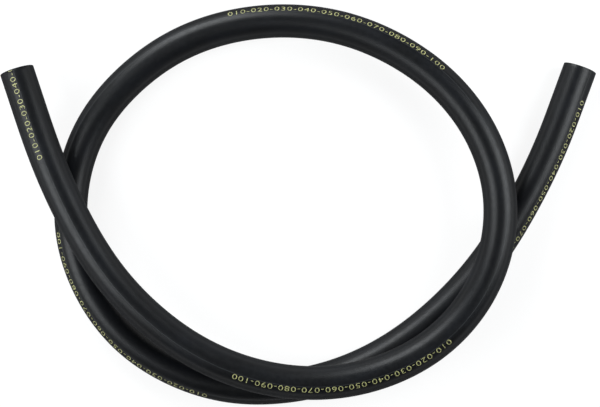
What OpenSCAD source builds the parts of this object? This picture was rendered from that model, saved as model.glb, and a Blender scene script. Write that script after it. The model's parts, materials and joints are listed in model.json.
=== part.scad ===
// A cut length of textile-reinforced rubber delivery hose, laid in one loop with its ends crossed over

/* [Section] */
// Bore of the hose
bore_d = 19; // [14:0.5:22]
// Wall of the rubber lining tube
lining_wall = 1.4; // [1:0.1:2]
// Thickness of each ply of yarn
ply_wall = 0.6; // [0.5:0.1:0.9]
// Thickness of the rubber between the two plies
interlayer_wall = 0.4; // [0.4:0.1:0.8]
// Wall of the rubber cover
cover_wall = 1; // [0.8:0.1:2]

/* [Cut ends] */
// Straight stretch at each square-cut end, where a hose tail goes in and a clip goes round
straight_end = 30; // [20:1:40]

/* [Lay] */
// Air between the two strands where one crosses over the other
crossing_gap = 0.3; // [0.2:0.1:1]
// Share of its width that the section loses where the hose is bent
bend_narrowing = 0.015; // [0:0.005:0.05]

/* [Hidden] */

// Radii of the layers' faces, from the bore out
bore_r = bore_d / 2;
lining_r = bore_r + lining_wall;
first_ply_r = lining_r + ply_wall;
interlayer_r = first_ply_r + interlayer_wall;
second_ply_r = interlayer_r + ply_wall;
cover_r = second_ply_r + cover_wall;
hose_d = 2 * cover_r;

// The hose's route, from its upper end to its lower one: x, y and the level that it lies at.
// Level 0 lies on the ground, and level 1 lies on top of a strand that is on the ground.
route = [
    [-215.5, 78.5, 0.97], [-201, 35, 1], [-177.5, -16.5, 1], [-150.5, -59.5, 1], [-115, -95, 1], [-76, -121, 1],
    [-32, -137, 1], [15, -142, 1], [61, -134, 1], [104, -113, 1], [137, -79, 1], [156, -36, 1],
    [159, 12, 1], [144, 58, 0.97], [116, 96, 0.84], [79, 124, 0.66], [36, 143, 0.48], [-10, 150, 0.32],
    [-57, 146, 0.19], [-101, 131, 0.09], [-139, 104, 0.03], [-170, 68, 0], [-186, 24, 0], [-188, -23, 0],
    [-173, -68, 0], [-145, -107, 0], [-106, -133, 0], [-61, -148, 0], [-14, -148, 0], [31, -138, 0],
    [73, -118, 0], [111, -89, 0], [146, -52, 0], [174, -9, 0], [200, 42, 0], [215, 83, 0]
];
spans = len(route) - 1;
rings_per_span = 2;
rings = spans * rings_per_span + 1;

// Spans over which a straight end passes into the narrowed section of the bend
ramp_spans = 3;

// Each ring has a flat at its top and bottom, and corners that give it the area of the round section
sides = 12;
corner_share = sqrt(2 * PI / (sides * sin(360 / sides)));

// Length that a round end stretch shares with the ringed stretch behind it, which joins the two
seam = 0.05;

$fn = 96;

// A route point in space. Past either end, the route runs straight on.
function level_z(level) = cover_r + level * (hose_d + crossing_gap);
function in_space(p) = [p.x, p.y, level_z(p.z)];
function route_point(i) =
    i < 0 ? 2 * in_space(route[0]) - in_space(route[1])
    : i > spans ? 2 * in_space(route[spans]) - in_space(route[spans - 1])
    : in_space(route[i]);

// The centreline: a cubic B-spline, which every ring is set on, and its direction
function span_of(t) = min(floor(t), spans - 1);
function centre_in(i, u) =
    ((1 - u) ^ 3 * route_point(i - 1)
    + (3 * u ^ 3 - 6 * u ^ 2 + 4) * route_point(i)
    + (-3 * u ^ 3 + 3 * u ^ 2 + 3 * u + 1) * route_point(i + 1)
    + u ^ 3 * route_point(i + 2)) / 6;
function heading_in(i, u) =
    -(1 - u) ^ 2 * route_point(i - 1)
    + (3 * u ^ 2 - 4 * u) * route_point(i)
    + (-3 * u ^ 2 + 2 * u + 1) * route_point(i + 1)
    + u ^ 2 * route_point(i + 2);
function unit(v) = v / norm(v);
function centre(t) = centre_in(span_of(t), t - span_of(t));
function heading(t) = unit(heading_in(span_of(t), t - span_of(t)));
function sideways(t) = unit(cross(heading(t), [0, 0, 1]));

// Width of the section at a place on the route, as a share of its full width
function ramp(x) = x * x * (3 - 2 * x);
function width_share(t) = 1 - bend_narrowing * ramp(min(1, min(t, spans - t) / ramp_spans));

// One ring of corners of a layer's face
function ring(t, r) =
    let (side = sideways(t), up = cross(side, heading(t)))
    [for (k = [0 : sides - 1])
        let (angle = (k + 0.5) * 360 / sides)
        centre(t) + r * corner_share * (cos(angle) * width_share(t) * side + sin(angle) * up)];

// Faces between two rows of corners: a wall's two triangles for each side of the ring
function wall(from, to) = [
    for (k = [0 : sides - 1])
    let (next = (k + 1) % sides)
    each [[from + k, to + next, from + next], [from + k, to + k, to + next]]
];

// The ringed stretch of a layer between two radii
module ringed_layer(r_in, r_out) {
    places = [for (i = [0 : rings - 1]) i / rings_per_span];
    outside = [for (t = places) each ring(t, r_out)];
    inside = [for (t = places) each ring(t, r_in)];
    first_in = len(outside);
    last = (rings - 1) * sides;
    polyhedron(
        points = concat(outside, inside),
        faces = concat(
            [for (i = [0 : rings - 2]) each wall((i + 1) * sides, i * sides)],
            [for (i = [0 : rings - 2]) each wall(first_in + i * sides, first_in + (i + 1) * sides)],
            wall(0, first_in),
            wall(first_in + last, last)
        ),
        convexity = 10
    );
}

// Stands its children at one end of the ringed stretch, with +Z along the hose and out of its cut end
module at_end(t) {
    out = (t == 0 ? -1 : 1) * heading(t);
    translate(centre(t)) rotate([0, acos(out.z), atan2(out.y, out.x)]) children();
}

// The round, straight stretch of a layer at one cut end
module round_end(t, r_in, r_out) {
    at_end(t) translate([0, 0, -seam]) difference() {
        cylinder(h = straight_end + seam, r = r_out);
        translate([0, 0, -seam]) cylinder(h = straight_end + 3 * seam, r = r_in);
    }
}

// A whole layer of the hose, from cut end to cut end
module layer(r_in, r_out) {
    ringed_layer(r_in, r_out);
    round_end(0, r_in, r_out);
    round_end(spans, r_in, r_out);
}

module inner_tube() color("#26282b") layer(bore_r, lining_r);
module yarn_ply_inner() color("#c9c2ae") layer(lining_r, first_ply_r);
module ply_interlayer() color("#34363a") layer(first_ply_r, interlayer_r);
module yarn_ply_outer() color("#c9c2ae") layer(interlayer_r, second_ply_r);
module outer_cover() color("#1e2023") layer(second_ply_r, cover_r);

inner_tube();
yarn_ply_inner();
ply_interlayer();
yarn_ply_outer();
outer_cover();
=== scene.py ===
"""A cut length of textile-reinforced rubber hose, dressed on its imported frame.

The hose lies in one loop on a pale floor, with its two cut ends crossed over. Its five layers are swept along
one centreline, the yarns show where the ends are cut, and plain length marks run along its cover.
"""

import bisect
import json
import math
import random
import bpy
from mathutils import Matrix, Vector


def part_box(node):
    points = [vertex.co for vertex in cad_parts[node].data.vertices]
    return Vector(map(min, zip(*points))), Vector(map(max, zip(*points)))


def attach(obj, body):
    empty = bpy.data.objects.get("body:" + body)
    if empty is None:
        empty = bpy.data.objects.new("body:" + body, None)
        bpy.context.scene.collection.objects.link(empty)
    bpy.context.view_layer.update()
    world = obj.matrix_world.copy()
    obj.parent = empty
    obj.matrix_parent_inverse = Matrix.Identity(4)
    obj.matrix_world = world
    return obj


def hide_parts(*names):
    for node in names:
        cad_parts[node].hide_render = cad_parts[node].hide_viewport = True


bl_info = {
    "name": "Rubber Hose Length",
    "version": (1, 0, 0),
    "blender": (4, 5, 0),
    "location": "3D View > Sidebar > Hose",
    "description": "Builds a cut length of reinforced rubber hose on its packed frame",
    "category": "Add Mesh",
}

from collections import namedtuple

import bpy
from bpy.props import FloatProperty, FloatVectorProperty, IntProperty, PointerProperty, StringProperty
from mathutils import Matrix, Vector

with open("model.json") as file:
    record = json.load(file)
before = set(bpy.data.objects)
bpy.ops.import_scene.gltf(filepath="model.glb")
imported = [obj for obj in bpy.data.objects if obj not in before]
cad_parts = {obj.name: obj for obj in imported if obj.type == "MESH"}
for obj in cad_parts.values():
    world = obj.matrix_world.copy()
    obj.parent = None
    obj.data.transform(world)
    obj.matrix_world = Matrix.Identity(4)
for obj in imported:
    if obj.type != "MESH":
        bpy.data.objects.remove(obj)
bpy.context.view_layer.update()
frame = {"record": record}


def mount_size(name, size):
    """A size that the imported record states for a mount, in metres."""
    mount = next(m for m in frame["record"]["mounts"] if m["name"] == name)
    return mount["dims"][size] / 1000


BORE_RADIUS = mount_size("upper_end_bore", "r_mm")
COVER_RADIUS = mount_size("upper_end_outside", "r_mm")
STRAIGHT_END = mount_size("upper_end_bore", "length_mm")


def outer_radius(node):
    """A layer's outer radius, from how far it stays above the floor that the cover lies on."""
    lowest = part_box(node)[0]
    return round(COVER_RADIUS - lowest[2], 4)


# The hose's route from its upper end to its lower one: x, y and the level that it lies at.
# Level 0 lies on the floor, and level 1 lies on top of a strand that is on the floor.
ROUTE = (
    (-0.2155, 0.0785, 0.97), (-0.201, 0.035, 1), (-0.1775, -0.0165, 1), (-0.1505, -0.0595, 1),
    (-0.115, -0.095, 1), (-0.076, -0.121, 1), (-0.032, -0.137, 1), (0.015, -0.142, 1),
    (0.061, -0.134, 1), (0.104, -0.113, 1), (0.137, -0.079, 1), (0.156, -0.036, 1),
    (0.159, 0.012, 1), (0.144, 0.058, 0.97), (0.116, 0.096, 0.84), (0.079, 0.124, 0.66),
    (0.036, 0.143, 0.48), (-0.010, 0.150, 0.32), (-0.057, 0.146, 0.19), (-0.101, 0.131, 0.09),
    (-0.139, 0.104, 0.03), (-0.170, 0.068, 0), (-0.186, 0.024, 0), (-0.188, -0.023, 0),
    (-0.173, -0.068, 0), (-0.145, -0.107, 0), (-0.106, -0.133, 0), (-0.061, -0.148, 0),
    (-0.014, -0.148, 0), (0.031, -0.138, 0), (0.073, -0.118, 0), (0.111, -0.089, 0),
    (0.146, -0.052, 0), (0.174, -0.009, 0), (0.200, 0.042, 0), (0.215, 0.083, 0),
)
SPANS = len(ROUTE) - 1

# Spans over which a straight end passes into the narrowed section of the bend
RAMP_SPANS = 3

# Turn of the line of marks about the hose: distance from the upper end, and degrees from the top outwards
MARK_TWIST = ((0, 13), (0.4, 18), (0.8, 40), (1.2, 50), (1.75, 45))

# Rings of a swept skin: per span of the route for the cover and for the layers in it, and per straight end
COVER_RINGS = 14
LAYER_RINGS = 10
END_RINGS = 10

# The cut faces lie this near to the middle of a cut end, and face along the hose at least this squarely
CUT_FACE_REACH = 0.03
CUT_FACE_SQUARENESS = 0.9

# The skins of the plies stop this far short of the cut, where the yarns' own ends stand
PLY_RECESS = 0.0001

# One cut yarn is an oval ball, cut off a little below its middle. Half its width is a share of the pitch, half its
# depth a share of the ply's wall, and the place of the cut a share of its height.
YARN_HALF_WIDTH = 0.43
YARN_HALF_DEPTH = 0.46
YARN_FOOT = -0.17

# How high a yarn's end rises over its middle, and how deep that middle is sunk below the hose's cut
YARN_HEIGHT = 0.0003
YARN_SINK = 0.00015

# How unevenly the yarns are laid: turn in radians to either side, and smallest and largest growth
YARN_TURN = 0.15
YARN_GROWTH = (0.88, 1.06)

# The seam that the curing sheath leaves: its distance from the middle of the marks, its width, and how far the
# pale line painted along it covers the rubber
SEAM_OFFSET = 0.0026
SEAM_WIDTH = 0.0004
SEAM_LINE_SHARE = 0.25

# The printed digits: spacing as a share of the font's own, then how far their outlines grow and half how thick
# they are, both in the font's units
DIGIT_SPACING = 1.12
DIGIT_GROWTH = -0.012
DIGIT_THICKNESS = 0.01

# Strips that a run of marks is cut into, so that it bends round the hose, and how far it stops short of the cut
MARK_STRIPS = 8
MARK_MARGIN = 0.0005

# The floor lies this far under the hose, so that the two don't touch
FLOOR_GAP = 0.0002

# The floor's glow grows from this level near the hose to full white, between these distances from the middle
GLOW_NEAR = 0.85
GLOW_REACH = (0.5, 1.6)

# Soft boxes: name, azimuth and elevation in degrees, distance, width, height and power
SOFT_BOXES = (
    ("key_lamp", 118, 31, 1.4, 0.6, 0.75, 18.5),
    ("right_lamp", 11, 41, 0.85, 0.6, 0.45, 7.4),
    ("left_lamp", 192, 46, 1.1, 0.65, 0.7, 11.6),
)
COOL_WHITE = (0.94, 0.98, 1.0)

# Point attribute that holds where each point lies on the straightened hose
STRAIGHT = "straight_hose"

# Scale of the skins' UV maps: one unit is a tenth of a metre
UV_PER_METRE = 10


def rgb(hex_colour):
    """An sRGB hex colour as linear red, green and blue."""
    shares = [int(hex_colour[k : k + 2], 16) / 255 for k in (1, 3, 5)]
    return tuple(c / 12.92 if c <= 0.04045 else ((c + 0.055) / 1.055) ** 2.4 for c in shares)


class HoseSizes(bpy.types.PropertyGroup):
    """Sizes of the hose's layers and of the way it lies"""

    bore_radius: FloatProperty(
        name="Bore radius", description="Radius of the bore", default=BORE_RADIUS, unit="LENGTH", precision=4
    )
    lining_radius: FloatProperty(
        name="Lining radius",
        description="Outer radius of the rubber lining tube",
        default=outer_radius("inner_tube"),
        unit="LENGTH",
        precision=4,
    )
    first_ply_radius: FloatProperty(
        name="First ply radius",
        description="Outer radius of the inner ply of yarn",
        default=outer_radius("yarn_ply_inner"),
        unit="LENGTH",
        precision=4,
    )
    interlayer_radius: FloatProperty(
        name="Interlayer radius",
        description="Outer radius of the rubber between the plies",
        default=outer_radius("ply_interlayer"),
        unit="LENGTH",
        precision=4,
    )
    second_ply_radius: FloatProperty(
        name="Second ply radius",
        description="Outer radius of the outer ply of yarn",
        default=outer_radius("yarn_ply_outer"),
        unit="LENGTH",
        precision=4,
    )
    cover_radius: FloatProperty(
        name="Cover radius",
        description="Outer radius of the hose",
        default=COVER_RADIUS,
        unit="LENGTH",
        precision=4,
    )
    straight_end: FloatProperty(
        name="Straight end",
        description="Straight stretch at each cut end",
        default=STRAIGHT_END,
        unit="LENGTH",
    )
    crossing_gap: FloatProperty(
        name="Crossing gap",
        description="Air between the two strands where they cross",
        default=0.0003,
        unit="LENGTH",
        precision=4,
    )
    bend_narrowing: FloatProperty(
        name="Bend narrowing",
        description="Share of its width that the section loses in the bend",
        default=0.015,
        min=0,
        max=0.05,
        subtype="FACTOR",
    )
    cut_edge: FloatProperty(
        name="Cut edge",
        description="Rounding left on the edges of a cut end",
        default=0.0003,
        unit="LENGTH",
        precision=4,
    )
    yarns_per_ply: IntProperty(
        name="Yarns per ply", description="Yarns laid side by side in each ply", default=56, min=12
    )


class HoseMarks(bpy.types.PropertyGroup):
    """The plain length marks printed along the cover"""

    words: StringProperty(
        name="Marks", description="One run of marks", default="010-020-030-040-050-060-070-080-090-100"
    )
    run_length: FloatProperty(
        name="Run length", description="Length of one run of marks", default=0.1765, unit="LENGTH"
    )
    digit_height: FloatProperty(
        name="Digit height", description="Height of a printed digit", default=0.0043, unit="LENGTH", precision=4
    )
    first_start: FloatProperty(
        name="First start",
        description="Distance from the upper end to the start of the first run",
        default=0.0740,
        unit="LENGTH",
        precision=4,
    )
    repeat: FloatProperty(
        name="Repeat", description="Distance from one run's start to the next", default=0.4065, unit="LENGTH"
    )
    ink_height: FloatProperty(
        name="Ink height",
        description="How far the ink stands off the cover",
        default=0.00006,
        unit="LENGTH",
        precision=5,
    )


class HoseColours(bpy.types.PropertyGroup):
    """Colours of the rubbers, the yarn and the ink"""

    cover: FloatVectorProperty(
        name="Cover", description="Black of the cover", default=rgb("#090a0c"), subtype="COLOR", min=0, max=1
    )
    bloom: FloatVectorProperty(
        name="Bloom",
        description="Grey of the faint bloom on the cover",
        default=rgb("#111317"),
        subtype="COLOR",
        min=0,
        max=1,
    )
    # Grey of the fine pale line that is painted along the sheath's seam
    pale_line: FloatVectorProperty(
        name="Seam line",
        description="Grey of the dust in the seam",
        default=rgb("#4b4e50"),
        subtype="COLOR",
        min=0,
        max=1,
    )
    lining: FloatVectorProperty(
        name="Lining", description="Black of the lining", default=rgb("#222427"), subtype="COLOR", min=0, max=1
    )
    cut_rubber: FloatVectorProperty(
        name="Cut rubber",
        description="Dark grey of rubber that a knife has cut",
        default=rgb("#1d1e20"),
        subtype="COLOR",
        min=0,
        max=1,
    )
    yarn: FloatVectorProperty(
        name="Yarn", description="Off-white of the yarn", default=rgb("#c9c2ae"), subtype="COLOR", min=0, max=1
    )
    ink: FloatVectorProperty(
        name="Ink", description="Pale olive of the ink", default=rgb("#a3a26c"), subtype="COLOR", min=0, max=1
    )


class HoseStage(bpy.types.PropertyGroup):
    """The camera, the floor and the lamps"""

    camera_place: FloatVectorProperty(
        name="Camera",
        description="Place of the camera, which looks straight down",
        default=(-0.001146, 0.001751, 1.159),
        subtype="TRANSLATION",
        unit="LENGTH",
        precision=4,
    )
    lens: FloatProperty(name="Lens", description="Focal length in millimetres", default=85)
    floor_size: FloatProperty(name="Floor", description="Width of the floor", default=8, unit="LENGTH")
    fill: FloatProperty(name="Fill", description="Strength of the light from all round", default=0.05, min=0)


# ---------------------------------------------------------------- the hose's line

Station = namedtuple("Station", "along centre side up width")


def ease(x):
    """A smooth step from 0 to 1."""
    return x * x * (3 - 2 * x)


def route_point(sizes, i):
    """A point of the route in space. Past either end, the route runs straight on."""
    if i < 0:
        return 2 * route_point(sizes, 0) - route_point(sizes, 1)
    if i > SPANS:
        return 2 * route_point(sizes, SPANS) - route_point(sizes, SPANS - 1)
    x, y, level = ROUTE[i]
    rise = 2 * sizes.cover_radius + sizes.crossing_gap
    return Vector((x, y, sizes.cover_radius + level * rise))


def centre_and_heading(sizes, place):
    """The centreline's point and direction at a place that is counted in spans: a cubic B-spline."""
    i = min(int(place), SPANS - 1)
    u = place - i
    near = [route_point(sizes, i + k) for k in (-1, 0, 1, 2)]
    pull = ((1 - u) ** 3, 3 * u**3 - 6 * u**2 + 4, -3 * u**3 + 3 * u**2 + 3 * u + 1, u**3)
    turn = (-((1 - u) ** 2), 3 * u**2 - 4 * u, -3 * u**2 + 2 * u + 1, u**2)
    centre = sum((w * p for w, p in zip(pull, near)), Vector()) / 6
    heading = sum((w * p for w, p in zip(turn, near)), Vector()).normalized()
    return centre, heading


def width_share(sizes, place):
    """Width of the section at a place on the route, as a share of its full width."""
    return 1 - sizes.bend_narrowing * ease(min(1, min(place, SPANS - place) / RAMP_SPANS))


def hose_line(sizes, rings_per_span):
    """Stations along the centreline, from the upper cut end to the lower one."""
    stations = []

    def add(centre, heading, width):
        side = heading.cross(Vector((0, 0, 1))).normalized()
        along = stations[-1].along + (centre - stations[-1].centre).length if stations else 0.0
        stations.append(Station(along, centre, side, side.cross(heading), width))

    first, first_heading = centre_and_heading(sizes, 0)
    for k in range(END_RINGS):
        back = sizes.straight_end * (1 - k / END_RINGS)
        add(first - back * first_heading, first_heading, 1)
    for k in range(SPANS * rings_per_span + 1):
        place = k / rings_per_span
        add(*centre_and_heading(sizes, place), width_share(sizes, place))
    last, last_heading = centre_and_heading(sizes, SPANS)
    for k in range(1, END_RINGS + 1):
        add(last + sizes.straight_end * k / END_RINGS * last_heading, last_heading, 1)
    return stations


def station_at(line, along):
    """The station at a distance along the hose, between the two that are nearest."""
    k = min(max(bisect.bisect_right([s.along for s in line], along), 1), len(line) - 1)
    a, b = line[k - 1], line[k]
    share = (along - a.along) / (b.along - a.along)
    return Station(along, *(p + (q - p) * share for p, q in zip(a[1:], b[1:])))


def on_section(station, radius, angle):
    """A point of the section at a station. The angle starts at the top and turns outwards."""
    across = math.sin(angle) * station.width * station.side
    return station.centre + radius * (across + math.cos(angle) * station.up)


def mark_turn(along):
    """How far the line of marks is turned from the top of the hose towards its outside, in radians."""
    for (s0, turn0), (s1, turn1) in zip(MARK_TWIST, MARK_TWIST[1:]):
        if along <= s1:
            return math.radians(turn0 + (turn1 - turn0) * ease(max(0, (along - s0) / (s1 - s0))))
    return math.radians(MARK_TWIST[-1][1])


def on_straight_hose(along, radius, angle):
    """The same point once the hose is pulled straight along Y and untwisted, with the marks along its top."""
    angle -= mark_turn(along)
    return radius * math.sin(angle), along, radius * math.cos(angle)


# ---------------------------------------------------------------- materials


def add_node(tree, kind, settings=(), values=(), links=()):
    """Adds a node with its settings, the values of its sockets and the links into them."""
    node = tree.nodes.new(kind)
    for name, value in dict(settings).items():
        setattr(node, name, value)
    for socket, value in dict(values).items():
        node.inputs[socket].default_value = value
    for socket, source in dict(links).items():
        tree.links.new(source, node.inputs[socket])
    return node


def new_material(name, values):
    """A new material, its node tree and its shader, with the values set on the shader's own sockets."""
    material = bpy.data.materials.new(name)
    material.use_nodes = True
    shader = material.node_tree.nodes["Principled BSDF"]
    for socket, value in values.items():
        shader.inputs[socket].default_value = value
    return material, material.node_tree, shader


def opaque(colour):
    """A colour property as red, green, blue and alpha."""
    return (*colour, 1)


def sheath_seam(tree, place):
    """1 on the seam of the curing sheath, which runs beside the marks on their inner side."""
    where = add_node(tree, "ShaderNodeSeparateXYZ", (), (), {"Vector": place}).outputs
    off_seam = add_node(tree, "ShaderNodeMath", {"operation": "ADD"}, {1: SEAM_OFFSET}, {0: where["X"]})
    from_seam = add_node(tree, "ShaderNodeMath", {"operation": "ABSOLUTE"}, (), {0: off_seam.outputs["Value"]})
    line = add_node(
        tree,
        "ShaderNodeMapRange",
        {"interpolation_type": "SMOOTHSTEP"},
        {"From Min": SEAM_WIDTH / 4, "From Max": SEAM_WIDTH * 3 / 4, "To Min": 1.0, "To Max": 0.0},
        {"Value": from_seam.outputs["Value"]},
    )
    upper = add_node(tree, "ShaderNodeMath", {"operation": "GREATER_THAN"}, {1: 0.0}, {0: where["Z"]})
    seam = add_node(
        tree,
        "ShaderNodeMath",
        {"operation": "MULTIPLY"},
        (),
        {0: line.outputs["Result"], 1: upper.outputs["Value"]},
    )
    return seam.outputs["Value"]


def cover_rubber(colours):
    """Synthetic rubber, extruded and cured against a smooth sheath. It has a satin skin with faint lengthwise
    die lines, a thin grey bloom in patches, and a gloss that handling has left uneven."""
    material, tree, shader = new_material(
        "cover_rubber_cured_satin", {"IOR": 1.52, "Specular IOR Level": 0.19}
    )
    place = add_node(tree, "ShaderNodeAttribute", {"attribute_name": STRAIGHT}).outputs["Vector"]

    # Bloom lies in patches about 40 mm long and 12 mm wide
    patches = add_node(tree, "ShaderNodeMapping", (), {"Scale": (1 / 0.012, 1 / 0.04, 1 / 0.012)}, {"Vector": place})
    bloom = add_node(
        tree,
        "ShaderNodeTexNoise",
        (),
        {"Scale": 1.0, "Detail": 4.0, "Roughness": 0.6},
        {"Vector": patches.outputs["Vector"]},
    )
    share = add_node(
        tree,
        "ShaderNodeMapRange",
        (),
        {"From Min": 0.42, "From Max": 0.72, "To Min": 0.0, "To Max": 0.6},
        {"Value": bloom.outputs["Fac"]},
    )
    colour = add_node(
        tree,
        "ShaderNodeMix",
        {"data_type": "RGBA"},
        {"A": opaque(colours.cover), "B": opaque(colours.bloom)},
        {"Factor": share.outputs["Result"]},
    )
    # A fine pale line is painted along the sheath's seam
    seam = sheath_seam(tree, place)
    pale_line = add_node(tree, "ShaderNodeMath", {"operation": "MULTIPLY"}, {1: SEAM_LINE_SHARE}, {0: seam})
    with_pale_line = add_node(
        tree,
        "ShaderNodeMix",
        {"data_type": "RGBA"},
        {"B": opaque(colours.pale_line)},
        {"Factor": pale_line.outputs["Value"], "A": colour.outputs["Result"]},
    )
    tree.links.new(with_pale_line.outputs["Result"], shader.inputs["Base Color"])

    # Gloss varies over 3 mm, which is as fine as shows from a metre away
    rubbed = add_node(
        tree,
        "ShaderNodeTexNoise",
        (),
        {"Scale": 1 / 0.003, "Detail": 3.0, "Roughness": 0.55},
        {"Vector": place},
    )
    gloss = add_node(
        tree,
        "ShaderNodeMapRange",
        (),
        {"From Min": 0.3, "From Max": 0.7, "To Min": 0.34, "To Max": 0.42},
        {"Value": rubbed.outputs["Fac"]},
    )
    # At a grazing angle the powder on the skin scatters the light, and the edges look dull
    edge = add_node(tree, "ShaderNodeLayerWeight", (), {"Blend": 0.5})
    dull = add_node(
        tree,
        "ShaderNodeMapRange",
        {"interpolation_type": "SMOOTHSTEP"},
        {"From Min": 0.22, "From Max": 0.5, "To Min": 0.0, "To Max": 0.5},
        {"Value": edge.outputs["Facing"]},
    )
    roughness = add_node(
        tree,
        "ShaderNodeMath",
        {"operation": "ADD", "use_clamp": True},
        (),
        {0: gloss.outputs["Result"], 1: dull.outputs["Result"]},
    )
    tree.links.new(roughness.outputs["Value"], shader.inputs["Roughness"])

    # Die lines are 1 mm apart round the hose and run for about 150 mm
    lines = add_node(tree, "ShaderNodeMapping", (), {"Scale": (1 / 0.001, 1 / 0.15, 1 / 0.001)}, {"Vector": place})
    die = add_node(
        tree, "ShaderNodeTexNoise", (), {"Scale": 1.0, "Detail": 2.0}, {"Vector": lines.outputs["Vector"]}
    )
    ridges = add_node(
        tree,
        "ShaderNodeBump",
        (),
        {"Strength": 0.5, "Distance": 0.00004},
        {"Height": die.outputs["Fac"]},
    )
    flash = add_node(
        tree,
        "ShaderNodeBump",
        (),
        {"Strength": 1.0, "Distance": 0.00003},
        {"Height": seam, "Normal": ridges.outputs["Normal"]},
    )
    # Grain of the skin, 0.5 mm
    grain = add_node(
        tree, "ShaderNodeTexNoise", (), {"Scale": 1 / 0.0005, "Detail": 2.0}, {"Vector": place}
    )
    skin = add_node(
        tree,
        "ShaderNodeBump",
        (),
        {"Strength": 0.5, "Distance": 0.00002},
        {"Height": grain.outputs["Fac"], "Normal": flash.outputs["Normal"]},
    )
    tree.links.new(skin.outputs["Normal"], shader.inputs["Normal"])
    return material


def lining_rubber(name, colour):
    """Synthetic rubber, extruded over a mandrel: duller than the cover, with a fine powdery skin."""
    material, tree, shader = new_material(name, {"IOR": 1.52, "Specular IOR Level": 0.3, "Roughness": 0.6})
    place = add_node(tree, "ShaderNodeAttribute", {"attribute_name": STRAIGHT}).outputs["Vector"]
    powder = add_node(
        tree, "ShaderNodeTexNoise", (), {"Scale": 1 / 0.004, "Detail": 5.0, "Roughness": 0.7}, {"Vector": place}
    )
    shade = add_node(
        tree,
        "ShaderNodeMapRange",
        (),
        {"From Min": 0.35, "From Max": 0.75, "To Min": 0.0, "To Max": 0.35},
        {"Value": powder.outputs["Fac"]},
    )
    mixed = add_node(
        tree,
        "ShaderNodeMix",
        {"data_type": "RGBA"},
        {"A": opaque(colour), "B": opaque([min(1, c * 3) for c in colour])},
        {"Factor": shade.outputs["Result"]},
    )
    tree.links.new(mixed.outputs["Result"], shader.inputs["Base Color"])
    skin = add_node(
        tree,
        "ShaderNodeBump",
        (),
        {"Strength": 0.6, "Distance": 0.00003},
        {"Height": powder.outputs["Fac"]},
    )
    tree.links.new(skin.outputs["Normal"], shader.inputs["Normal"])
    return material


def knife_cut_rubber(colours):
    """The same rubber where a knife has gone through it: matt, greyer, with fine parallel drag lines."""
    material, tree, shader = new_material(
        "knife_cut_rubber", {"IOR": 1.52, "Specular IOR Level": 0.2, "Roughness": 0.8}
    )
    place = add_node(tree, "ShaderNodeAttribute", {"attribute_name": STRAIGHT}).outputs["Vector"]
    # Drag lines are 0.4 mm apart and slope a little across the face
    turned = add_node(
        tree,
        "ShaderNodeMapping",
        (),
        {"Rotation": (0, 0.5, 0), "Scale": (1 / 0.0004, 1, 1 / 0.02)},
        {"Vector": place},
    )
    drag = add_node(
        tree,
        "ShaderNodeTexNoise",
        (),
        {"Scale": 1.0, "Detail": 4.0, "Roughness": 0.6},
        {"Vector": turned.outputs["Vector"]},
    )
    mixed = add_node(
        tree,
        "ShaderNodeMix",
        {"data_type": "RGBA"},
        {"A": opaque([c * 0.7 for c in colours.cut_rubber]), "B": opaque([c * 1.5 for c in colours.cut_rubber])},
        {"Factor": drag.outputs["Fac"]},
    )
    tree.links.new(mixed.outputs["Result"], shader.inputs["Base Color"])
    marks = add_node(
        tree,
        "ShaderNodeBump",
        (),
        {"Strength": 0.8, "Distance": 0.00008},
        {"Height": drag.outputs["Fac"]},
    )
    tree.links.new(marks.outputs["Normal"], shader.inputs["Normal"])
    return material


def polyester_yarn(colours):
    """Polyester yarn, cut across: off-white bundles of fine filaments, stained by the rubber round them."""
    material, tree, shader = new_material(
        "polyester_yarn_cut", {"IOR": 1.55, "Roughness": 0.85, "Sheen Weight": 0.2, "Sheen Roughness": 0.5}
    )
    place = add_node(tree, "ShaderNodeTexCoord").outputs["Object"]
    # Filaments are bundled about 0.15 mm across, far thicker than single ones, so that they show close up
    filaments = add_node(
        tree, "ShaderNodeTexVoronoi", (), {"Scale": 1 / 0.00015, "Randomness": 0.9}, {"Vector": place}
    )
    stain = add_node(
        tree, "ShaderNodeTexNoise", (), {"Scale": 1 / 0.0009, "Detail": 3.0}, {"Vector": place}
    )
    dark = add_node(
        tree,
        "ShaderNodeMapRange",
        (),
        {"From Min": 0.45, "From Max": 0.75, "To Min": 0.0, "To Max": 0.7},
        {"Value": stain.outputs["Fac"]},
    )
    stained = add_node(
        tree,
        "ShaderNodeMix",
        {"data_type": "RGBA"},
        {"A": opaque(colours.yarn), "B": opaque([c * 0.35 for c in colours.yarn])},
        {"Factor": dark.outputs["Result"]},
    )
    tree.links.new(stained.outputs["Result"], shader.inputs["Base Color"])
    ends = add_node(
        tree,
        "ShaderNodeBump",
        {"invert": True},
        {"Strength": 0.8, "Distance": 0.00005},
        {"Height": filaments.outputs["Distance"]},
    )
    tree.links.new(ends.outputs["Normal"], shader.inputs["Normal"])
    return material


def rubbered_ply(colours):
    """A ply of yarn soaked in rubber solution: dull grey-brown, and blotched where the solution lies thicker."""
    material, tree, shader = new_material("rubbered_yarn_ply", {"IOR": 1.5, "Roughness": 0.85})
    place = add_node(tree, "ShaderNodeAttribute", {"attribute_name": STRAIGHT}).outputs["Vector"]
    grain = add_node(
        tree, "ShaderNodeTexNoise", (), {"Scale": 1 / 0.0008, "Detail": 4.0}, {"Vector": place}
    )
    mixed = add_node(
        tree,
        "ShaderNodeMix",
        {"data_type": "RGBA"},
        {"A": opaque([c * 0.12 for c in colours.yarn]), "B": opaque([c * 0.45 for c in colours.yarn])},
        {"Factor": grain.outputs["Fac"]},
    )
    tree.links.new(mixed.outputs["Result"], shader.inputs["Base Color"])
    rough = add_node(
        tree,
        "ShaderNodeBump",
        (),
        {"Strength": 0.7, "Distance": 0.00008},
        {"Height": grain.outputs["Fac"]},
    )
    tree.links.new(rough.outputs["Normal"], shader.inputs["Normal"])
    return material


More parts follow.
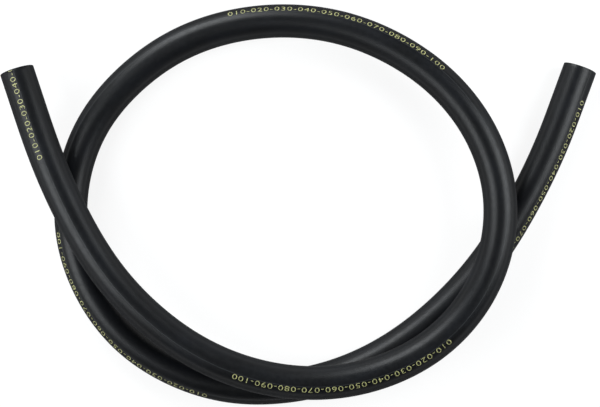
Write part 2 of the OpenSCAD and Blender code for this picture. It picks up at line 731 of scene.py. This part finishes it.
def stamped_ink(colours):
    """Pigmented ink rolled on from a print wheel: matt, opaque, and thin in places where the wheel missed."""
    material, tree, shader = new_material("stamped_ink", {"IOR": 1.5, "Roughness": 0.6})
    place = add_node(tree, "ShaderNodeAttribute", {"attribute_name": STRAIGHT}).outputs["Vector"]
    missed = add_node(
        tree, "ShaderNodeTexNoise", (), {"Scale": 1 / 0.0012, "Detail": 3.0, "Roughness": 0.6}, {"Vector": place}
    )
    thin = add_node(
        tree,
        "ShaderNodeMapRange",
        (),
        {"From Min": 0.42, "From Max": 0.72, "To Min": 0.0, "To Max": 0.8},
        {"Value": missed.outputs["Fac"]},
    )
    mixed = add_node(
        tree,
        "ShaderNodeMix",
        {"data_type": "RGBA"},
        {"A": opaque(colours.ink), "B": opaque(colours.cover)},
        {"Factor": thin.outputs["Result"]},
    )
    tree.links.new(mixed.outputs["Result"], shader.inputs["Base Color"])
    return material


def background_rays(tree):
    """1 for the rays that see the background: the eye's own, and those that gloss and glass send on."""
    rays = add_node(tree, "ShaderNodeLightPath").outputs
    seen = add_node(
        tree, "ShaderNodeMath", {"operation": "MAXIMUM"}, (), {0: rays["Is Camera Ray"], 1: rays["Is Glossy Ray"]}
    )
    through = add_node(
        tree,
        "ShaderNodeMath",
        {"operation": "MAXIMUM"},
        (),
        {0: seen.outputs["Value"], 1: rays["Is Transmission Ray"]},
    )
    return through.outputs["Value"]


def paper_sweep():
    """White paper, lit from behind as well: it reads as white, and takes only the palest of shadows."""
    material = bpy.data.materials.new("white_paper_sweep")
    material.use_nodes = True
    tree = material.node_tree
    tree.nodes.clear()
    paper = add_node(tree, "ShaderNodeBsdfDiffuse", (), {"Color": opaque(rgb("#f4f4f4"))})
    white = add_node(tree, "ShaderNodeEmission", (), {"Color": (1, 1, 1, 1), "Strength": 1.0})
    place = add_node(tree, "ShaderNodeTexCoord").outputs["Object"]
    away = add_node(tree, "ShaderNodeVectorMath", {"operation": "LENGTH"}, (), {0: place}).outputs["Value"]
    glow = add_node(
        tree,
        "ShaderNodeMapRange",
        {"interpolation_type": "SMOOTHSTEP"},
        {"From Min": GLOW_REACH[0], "From Max": GLOW_REACH[1], "To Min": GLOW_NEAR, "To Max": 1.0},
        {"Value": away},
    )
    share = add_node(
        tree,
        "ShaderNodeMath",
        {"operation": "MULTIPLY"},
        (),
        {0: background_rays(tree), 1: glow.outputs["Result"]},
    )
    mixed = add_node(
        tree,
        "ShaderNodeMixShader",
        (),
        (),
        {0: share.outputs["Value"], 1: paper.outputs["BSDF"], 2: white.outputs["Emission"]},
    )
    add_node(tree, "ShaderNodeOutputMaterial", (), (), {"Surface": mixed.outputs["Shader"]})
    return material


# ---------------------------------------------------------------- shapes


def deselect():
    """Leaves nothing selected and no object active, in Object Mode."""
    if bpy.context.object and bpy.context.object.mode != "OBJECT":
        bpy.ops.object.mode_set(mode="OBJECT")
    bpy.ops.object.select_all(action="DESELECT")


def pick(*objects):
    """Selects these objects alone and makes the first one active."""
    deselect()
    for obj in objects:
        obj.select_set(True)
    bpy.context.view_layer.objects.active = objects[0]


def cut_wall_rows(length, places, r_in, r_out, edge, recess=0.0):
    """Rows of a layer's closed skin, as distance along and radius: out along its outer face, back along its
    inner face, with the edges of both cut ends rounded."""
    corner = [(edge * (1 - math.cos(a)), edge * (1 - math.sin(a))) for a in (0, math.pi / 4, math.pi / 2)]
    start = [(recess + along, r_out - drop) for along, drop in corner]
    middle = [(s, r_out) for s in places if recess + edge < s < length - recess - edge]
    outside = start + middle + [(length - along, radius) for along, radius in reversed(start)]
    inside = [(along, r_in + r_out - radius) for along, radius in reversed(outside)]
    return outside + inside


def add_layer(name, line, r_in, r_out, edge, recess=0.0, sides=64):
    """One layer of the hose as a closed annular skin, with its place on the straight hose as an attribute."""
    length = line[-1].along
    rows = cut_wall_rows(length, [s.along for s in line], r_in, r_out, edge, recess)
    points, straight = [], []
    for along, radius in rows:
        station = station_at(line, along)
        for k in range(sides):
            angle = 2 * math.pi * k / sides
            points.append(on_section(station, radius, angle))
            straight.append(on_straight_hose(along, radius, angle))
    faces = []
    for i in range(len(rows)):
        j = (i + 1) % len(rows)
        for k in range(sides):
            n = (k + 1) % sides
            faces.append((i * sides + k, i * sides + n, j * sides + n, j * sides + k))
    mesh = bpy.data.meshes.new(name)
    mesh.from_pydata(points, [], faces)
    mesh.attributes.new(STRAIGHT, "FLOAT_VECTOR", "POINT").data.foreach_set(
        "vector", [c for p in straight for c in p]
    )
    unwrap(mesh, rows, sides, r_out)
    obj = bpy.data.objects.new(name, mesh)
    bpy.context.collection.objects.link(obj)
    pick(obj)
    bpy.ops.object.shade_smooth_by_angle(angle=math.radians(40))
    deselect()
    return obj


def unwrap(mesh, rows, sides, r_out):
    """A UV map in tenths of a metre: along the skin's rows, and round the hose."""
    run = [0.0]
    for (s0, r0), (s1, r1) in zip(rows, rows[1:] + rows[:1]):
        run.append(run[-1] + math.hypot(s1 - s0, r1 - r0))
    layer = mesh.uv_layers.new(name="hose_skin")
    around = 2 * math.pi * r_out / sides
    uvs = []
    for i in range(len(rows)):
        for k in range(sides):
            for u, v in ((run[i], k), (run[i], k + 1), (run[i + 1], k + 1), (run[i + 1], k)):
                uvs += [u * UV_PER_METRE, v * around * UV_PER_METRE]
    layer.data.foreach_set("uv", uvs)


def paint_cut_faces(obj, line, skin, cut):
    """Gives the flat faces of both cut ends the cut material, and the rest the skin's."""
    obj.data.materials.append(skin)
    obj.data.materials.append(cut)
    for face, station in ((-1, line[0]), (1, line[-1])):
        heading = face * station.up.cross(station.side)
        for polygon in obj.data.polygons:
            near = (polygon.center - station.centre).length < CUT_FACE_REACH
            if near and polygon.normal.dot(heading) > CUT_FACE_SQUARENESS:
                polygon.material_index = 1


def settle(obj, node):
    """Makes a finished layer ride on the hose's body in place of its solid."""
    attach(obj, "root")
    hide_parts(node)


# ---------------------------------------------------------------- operators


class HOSE_OT_cover(bpy.types.Operator):
    """Sweeps the rubber cover, which is the hose that shows"""

    bl_idname = "hose.cover"
    bl_label = "Cover"

    def execute(self, context):
        sizes, colours = context.scene.hose_sizes, context.scene.hose_colours
        line = hose_line(sizes, COVER_RINGS)
        cover = add_layer("outer_cover_skin", line, sizes.second_ply_radius, sizes.cover_radius, sizes.cut_edge)
        paint_cut_faces(cover, line, cover_rubber(colours), knife_cut_rubber(colours))
        settle(cover, "outer_cover")
        return {"FINISHED"}


class HOSE_OT_inner_layers(bpy.types.Operator):
    """Sweeps the lining tube, the two plies of yarn and the rubber between them"""

    bl_idname = "hose.inner_layers"
    bl_label = "Inner layers"

    def execute(self, context):
        sizes, colours = context.scene.hose_sizes, context.scene.hose_colours
        line = hose_line(sizes, LAYER_RINGS)
        cut = knife_cut_rubber(colours)
        ply = rubbered_ply(colours)
        lining = add_layer(
            "lining_tube_skin", line, sizes.bore_radius, sizes.lining_radius, sizes.cut_edge, sides=56
        )
        paint_cut_faces(lining, line, lining_rubber("lining_rubber_mandrel_made", colours.lining), cut)
        settle(lining, "inner_tube")

        between = add_layer(
            "interlayer_skin", line, sizes.first_ply_radius, sizes.interlayer_radius, sizes.cut_edge / 3, sides=48
        )
        paint_cut_faces(between, line, lining_rubber("interlayer_rubber", colours.lining), cut)
        settle(between, "ply_interlayer")

        for name, node, r_in, r_out in (
            ("inner_ply_skin", "yarn_ply_inner", sizes.lining_radius, sizes.first_ply_radius),
            ("outer_ply_skin", "yarn_ply_outer", sizes.interlayer_radius, sizes.second_ply_radius),
        ):
            sleeve = add_layer(name, line, r_in, r_out, sizes.cut_edge / 3, recess=PLY_RECESS, sides=48)
            sleeve.data.materials.append(ply)
            settle(sleeve, node)
        return {"FINISHED"}


class HOSE_OT_cut_yarns(bpy.types.Operator):
    """Sets the ends of the cut yarns round both plies, at both ends of the hose"""

    bl_idname = "hose.cut_yarns"
    bl_label = "Cut yarns"

    def execute(self, context):
        sizes, colours = context.scene.hose_sizes, context.scene.hose_colours
        line = hose_line(sizes, COVER_RINGS)
        yarn = polyester_yarn(colours)
        chance = random.Random(11)
        for ply, r_in, r_out, shift in (
            ("inner", sizes.lining_radius, sizes.first_ply_radius, 0.0),
            ("outer", sizes.interlayer_radius, sizes.second_ply_radius, 0.5),
        ):
            for end, station, out in (("upper", line[0], -1), ("lower", line[-1], 1)):
                one = self.one_yarn_end(r_in, r_out, sizes.yarns_per_ply)
                ring = []
                for k in range(sizes.yarns_per_ply):
                    angle = 2 * math.pi * (k + shift) / sizes.yarns_per_ply
                    copy = one.copy()
                    copy.data = one.data.copy()
                    context.collection.objects.link(copy)
                    copy.data.transform(self.seat(station, out, (r_in + r_out) / 2, angle, chance))
                    ring.append(copy)
                bpy.data.meshes.remove(one.data)
                pick(*ring)
                bpy.ops.object.join()
                joined = context.object
                joined.name = f"{end}_end_{ply}_yarns"
                joined.data.name = joined.name
                joined.data.materials.append(yarn)
                deselect()
                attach(joined, "root")
        return {"FINISHED"}

    def one_yarn_end(self, r_in, r_out, count):
        """One cut yarn as a low closed dome, with +Z out of the cut."""
        pitch = math.pi * (r_in + r_out) / count
        deselect()
        bpy.ops.mesh.primitive_uv_sphere_add(segments=10, ring_count=6, radius=1)
        dome = bpy.context.object
        bpy.ops.object.mode_set(mode="EDIT")
        bpy.ops.mesh.select_all(action="SELECT")
        bpy.ops.mesh.bisect(plane_co=(0, 0, YARN_FOOT), plane_no=(0, 0, 1), clear_inner=True, use_fill=True)
        bpy.ops.mesh.select_all(action="SELECT")
        bpy.ops.transform.resize(
            value=(pitch * YARN_HALF_WIDTH, (r_out - r_in) * YARN_HALF_DEPTH, YARN_HEIGHT),
            center_override=(0, 0, 0),
        )
        bpy.ops.object.mode_set(mode="OBJECT")
        bpy.ops.object.shade_smooth_by_angle(angle=math.radians(50))
        return dome

    def seat(self, station, out, radius, angle, chance):
        """Where one yarn end sits: a little turned, and a little higher or lower than the next."""
        heading = out * station.up.cross(station.side)
        radial = math.sin(angle) * station.side + math.cos(angle) * station.up
        tangent = radial.cross(heading)
        turned = Matrix.Rotation(chance.uniform(-YARN_TURN, YARN_TURN), 3, "Z")
        grown = Matrix.Diagonal([chance.uniform(*YARN_GROWTH) for _ in range(3)])
        axes = Matrix((tangent, radial, heading)).transposed() @ turned @ grown
        seat = station.centre + radius * radial - YARN_SINK * heading
        return Matrix.Translation(seat) @ axes.to_4x4()


class HOSE_OT_length_marks(bpy.types.Operator):
    """Prints runs of plain length marks along the cover"""

    bl_idname = "hose.length_marks"
    bl_label = "Length marks"

    def execute(self, context):
        sizes, marks = context.scene.hose_sizes, context.scene.hose_marks
        line = hose_line(sizes, COVER_RINGS)
        ink = stamped_ink(context.scene.hose_colours)
        flat = self.flat_run(marks)
        start, number = marks.first_start, 1
        while start < line[-1].along:
            run = flat.copy()
            run.data = flat.data.copy()
            run.name = run.data.name = f"length_marks_{number}"
            context.collection.objects.link(run)
            self.trim(run, start)
            self.wrap(run, line, sizes.cover_radius, start)
            run.data.materials.clear()
            run.data.materials.append(ink)
            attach(run, "root")
            start += marks.repeat
            number += 1
        bpy.data.meshes.remove(flat.data)
        return {"FINISHED"}

    def flat_run(self, marks):
        """One run of marks as a flat slab of ink: +X along the words, +Y up the digits, cut into low strips."""
        deselect()
        bpy.ops.object.text_add()
        words = bpy.context.object
        words.data.body = marks.words
        words.data.align_y = "CENTER"
        words.data.space_character = DIGIT_SPACING
        words.data.offset = DIGIT_GROWTH
        words.data.extrude = DIGIT_THICKNESS
        words.data.resolution_u = 8
        bpy.ops.object.convert(target="MESH")
        low, high = [[f(c[k] for c in words.bound_box) for k in range(3)] for f in (min, max)]
        bpy.ops.object.mode_set(mode="EDIT")
        bpy.ops.mesh.select_all(action="SELECT")
        bpy.ops.mesh.remove_doubles(threshold=0.0001)
        bpy.ops.mesh.normals_make_consistent(inside=False)
        for k in range(1, MARK_STRIPS):
            bpy.ops.mesh.select_all(action="SELECT")
            level = low[1] + (high[1] - low[1]) * k / MARK_STRIPS
            bpy.ops.mesh.bisect(plane_co=(0, level, 0), plane_no=(0, 1, 0))
        bpy.ops.object.mode_set(mode="OBJECT")
        shift = Matrix.Translation((-low[0], -(low[1] + high[1]) / 2, -low[2]))
        size = (
            marks.run_length / (high[0] - low[0]),
            marks.digit_height / (high[1] - low[1]),
            marks.ink_height / (high[2] - low[2]),
        )
        words.data.transform(Matrix.Diagonal((*size, 1)) @ shift)
        deselect()
        return words

    def trim(self, run, start):
        """Cuts off what would run past the upper cut end."""
        reach = start - MARK_MARGIN
        if max(v.co.x for v in run.data.vertices) <= reach:
            return
        pick(run)
        bpy.ops.object.mode_set(mode="EDIT")
        bpy.ops.mesh.select_all(action="SELECT")
        bpy.ops.mesh.bisect(
            plane_co=(reach, 0, 0),
            plane_no=(1, 0, 0),
            clear_outer=True,
            use_fill=True,
            threshold=0.000001,
        )
        bpy.ops.object.mode_set(mode="OBJECT")
        deselect()

    def wrap(self, run, line, radius, start):
        """Lays the flat run on the cover. It reads towards the upper end, with its digits' tops outwards."""
        straight = run.data.attributes.new(STRAIGHT, "FLOAT_VECTOR", "POINT")
        for vertex in run.data.vertices:
            along = start - vertex.co.x
            angle = mark_turn(along) + vertex.co.y / radius
            height = radius + vertex.co.z
            straight.data[vertex.index].vector = on_straight_hose(along, height, angle)
            vertex.co = on_section(station_at(line, along), height, angle)
        run.data.update()


class HOSE_OT_stage(bpy.types.Operator):
    """Sets the floor, the lamps, the world and the camera straight above the hose"""

    bl_idname = "hose.stage"
    bl_label = "Stage"

    def execute(self, context):
        stage = context.scene.hose_stage
        deselect()
        bpy.ops.mesh.primitive_plane_add(size=stage.floor_size, location=(0, 0, -FLOOR_GAP))
        floor = context.object
        floor.name = "studio_floor"
        bpy.ops.object.transform_apply()
        floor.data.materials.append(paper_sweep())

        for box in SOFT_BOXES:
            self.soft_box(*box)
        self.light_world(context.scene, stage.fill)

        bpy.ops.object.camera_add(location=stage.camera_place, rotation=(0, 0, 0))
        camera = context.object
        camera.name = "overhead_camera"
        camera.data.lens = stage.lens
        camera.data.sensor_width = 36
        context.scene.camera = camera
        context.scene.view_settings.view_transform = "Standard"
        deselect()
        return {"FINISHED"}

    def soft_box(self, name, azimuth, elevation, distance, width, height, power):
        """A soft box that faces the middle of the loop."""
        turn, rise = math.radians(azimuth), math.radians(elevation)
        out = Vector((math.cos(turn) * math.cos(rise), math.sin(turn) * math.cos(rise), math.sin(rise)))
        deselect()
        bpy.ops.object.light_add(type="AREA", location=distance * out)
        lamp = bpy.context.object
        lamp.name = name
        lamp.rotation_euler = out.to_track_quat("Z", "Y").to_euler()
        lamp.data.shape = "RECTANGLE"
        lamp.data.size, lamp.data.size_y = width, height
        lamp.data.energy = power
        lamp.data.color = COOL_WHITE
        lamp.visible_camera = False

    def light_world(self, scene, fill):
        """A white surround up to eye level, under a dim ceiling that keeps the tops of black things black."""
        world = bpy.data.worlds.new("white_surround")
        scene.world = world
        world.use_nodes = True
        tree = world.node_tree
        tree.nodes.clear()
        way = add_node(tree, "ShaderNodeTexCoord").outputs["Generated"]
        rise = add_node(tree, "ShaderNodeSeparateXYZ", (), (), {"Vector": way}).outputs["Z"]
        low = add_node(
            tree,
            "ShaderNodeMapRange",
            {"interpolation_type": "SMOOTHSTEP"},
            {"From Min": 0.15, "From Max": 0.35, "To Min": 1.0, "To Max": 0.0},
            {"Value": rise},
        )
        share = add_node(
            tree,
            "ShaderNodeMath",
            {"operation": "MULTIPLY"},
            (),
            {0: background_rays(tree), 1: low.outputs["Result"]},
        )
        level = add_node(
            tree, "ShaderNodeMapRange", (), {"To Min": fill, "To Max": 1.0}, {"Value": share.outputs["Value"]}
        )
        white = add_node(
            tree, "ShaderNodeBackground", (), {"Color": (1, 1, 1, 1)}, {"Strength": level.outputs["Result"]}
        )
        add_node(tree, "ShaderNodeOutputWorld", (), (), {"Surface": white.outputs["Background"]})


class HOSE_PT_panel(bpy.types.Panel):
    """The hose's sizes and the steps that build it"""

    bl_idname = "HOSE_PT_panel"
    bl_label = "Rubber hose"
    bl_space_type = "VIEW_3D"
    bl_region_type = "UI"
    bl_category = "Hose"

    def draw(self, context):
        scene = context.scene
        for group in (scene.hose_sizes, scene.hose_marks, scene.hose_colours, scene.hose_stage):
            box = self.layout.box()
            for name in group.bl_rna.properties.keys():
                if name not in ("rna_type", "name"):
                    box.prop(group, name)
        for step in STEPS:
            self.layout.operator(step.bl_idname)


GROUPS = {
    "hose_sizes": HoseSizes,
    "hose_marks": HoseMarks,
    "hose_colours": HoseColours,
    "hose_stage": HoseStage,
}
STEPS = (HOSE_OT_stage, HOSE_OT_cover, HOSE_OT_inner_layers, HOSE_OT_cut_yarns, HOSE_OT_length_marks)
CLASSES = (*GROUPS.values(), *STEPS, HOSE_PT_panel)


def register():
    for cls in CLASSES:
        bpy.utils.register_class(cls)
    for name, group in GROUPS.items():
        setattr(bpy.types.Scene, name, PointerProperty(type=group))


def unregister():
    for name in GROUPS:
        delattr(bpy.types.Scene, name)
    for cls in reversed(CLASSES):
        bpy.utils.unregister_class(cls)


def main():
    register()
    bpy.ops.hose.stage()
    bpy.ops.hose.cover()
    bpy.ops.hose.inner_layers()
    bpy.ops.hose.cut_yarns()
    bpy.ops.hose.length_marks()


if __name__ == "__main__":
    main()
